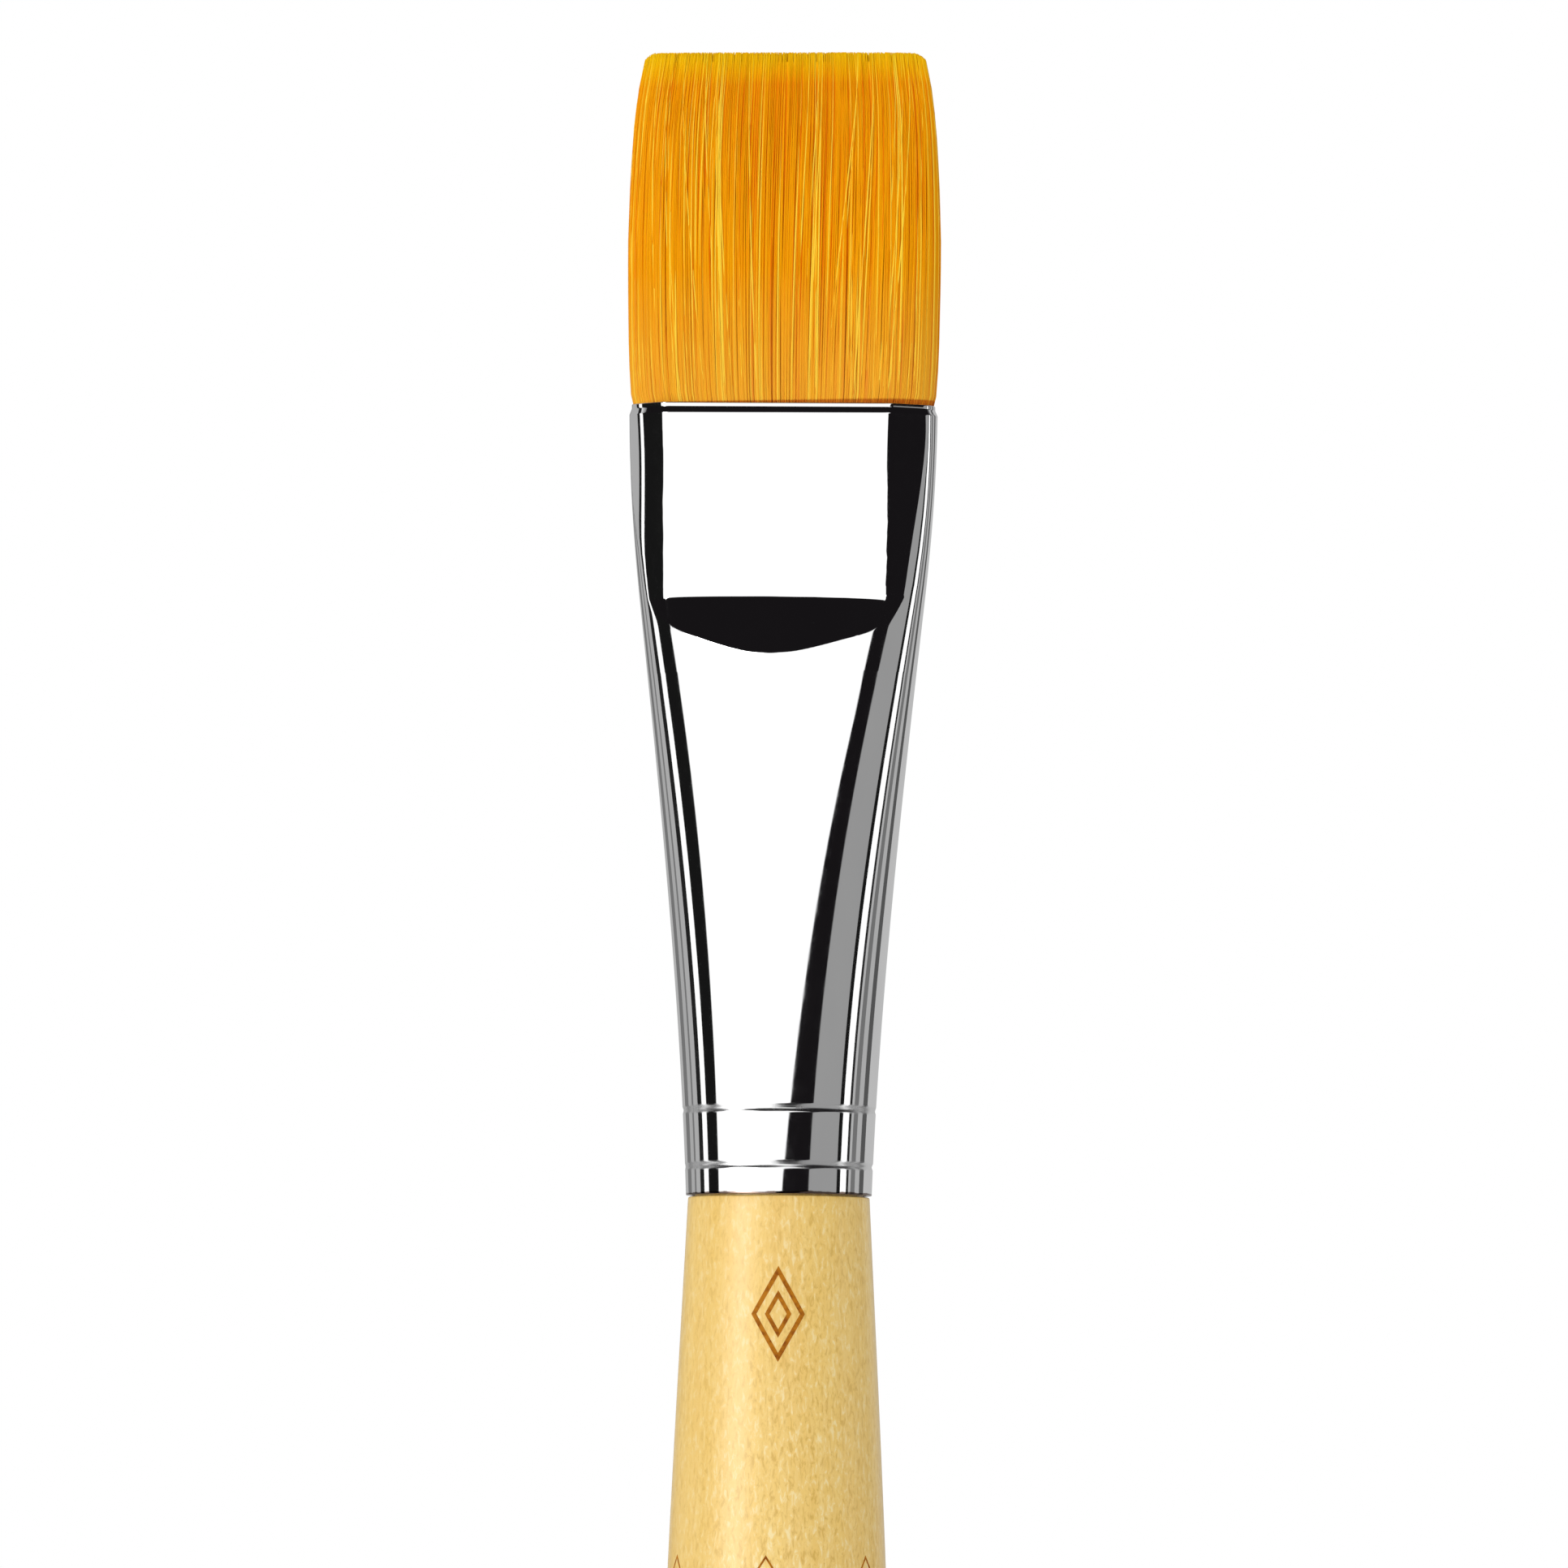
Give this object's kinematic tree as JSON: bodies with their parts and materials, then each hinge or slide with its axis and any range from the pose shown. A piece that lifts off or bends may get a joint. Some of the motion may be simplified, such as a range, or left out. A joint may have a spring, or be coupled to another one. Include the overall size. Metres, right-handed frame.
{
  "type": "flat artist's paint brush",
  "caption": "Flat wash brush with a square-cut filament tuft, a plated ferrule pressed flat at its mouth and a turned, tapering wooden handle.",
  "frame": {"origin": "on the handle's axis at its thickest part, where the brush is gripped", "axes": "+Z runs along the brush from the handle's tail to the tuft, +Y through the tuft's thickness away from its front, +X across the tuft's width"},
  "size_m": [0.0212, 0.0156, 0.21],
  "materials": {
    "handle": "pale hardwood, thin satin clear coat",
    "ferrule": "polished nickel plate",
    "tenon_glue": "set glue",
    "resin_plug": "set epoxy resin",
    "binding_thread": "twisted thread",
    "filament_roots": "golden synthetic filament",
    "filament_tuft": "golden synthetic filament"
  },
  "bodies": {
    "brush_body": {"handle": "handle", "ferrule": "ferrule", "tenon_glue": "tenon_glue", "resin_plug": "resin_plug", "binding_thread": "binding_thread", "filament_roots": "filament_roots"},
    "tuft": {"filament_tuft": "filament_tuft"}
  },
  "joints": [
    {"name": "tuft_flex", "type": "hinge", "parent": "brush_body", "child": "tuft", "pos_m": [0, 0, 0.1058], "axis": [1, 0, 0], "range_deg": [-30, 30], "stiffness_Nm_per_rad": 0.018}
  ]
}
